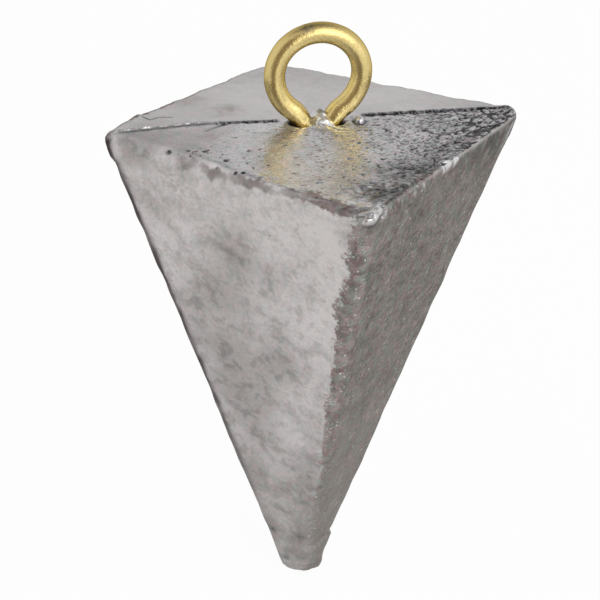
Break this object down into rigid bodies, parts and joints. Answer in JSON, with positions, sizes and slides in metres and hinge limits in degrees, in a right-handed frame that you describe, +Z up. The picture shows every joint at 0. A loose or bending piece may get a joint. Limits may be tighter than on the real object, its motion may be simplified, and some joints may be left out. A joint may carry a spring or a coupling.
{
  "type": "fishing sinker",
  "caption": "Four-sided pyramid of cast lead, point down, with a bent brass wire eye cast into its top; ties to a line and holds the bottom.",
  "frame": {"origin": "centre of the wire eye, where the line ties on", "axes": "+Z up from the pyramid's tip to the eye; +Y along the eye's opening, square to the mould's parting plane; the ridge of the top lies along X"},
  "size_m": [0.0372, 0.0362, 0.0569],
  "materials": {
    "lead": "satin",
    "brass": "satin"
  },
  "bodies": {
    "root": {"lead_body": "lead", "wire_eye": "brass"}
  },
  "joints": []
}
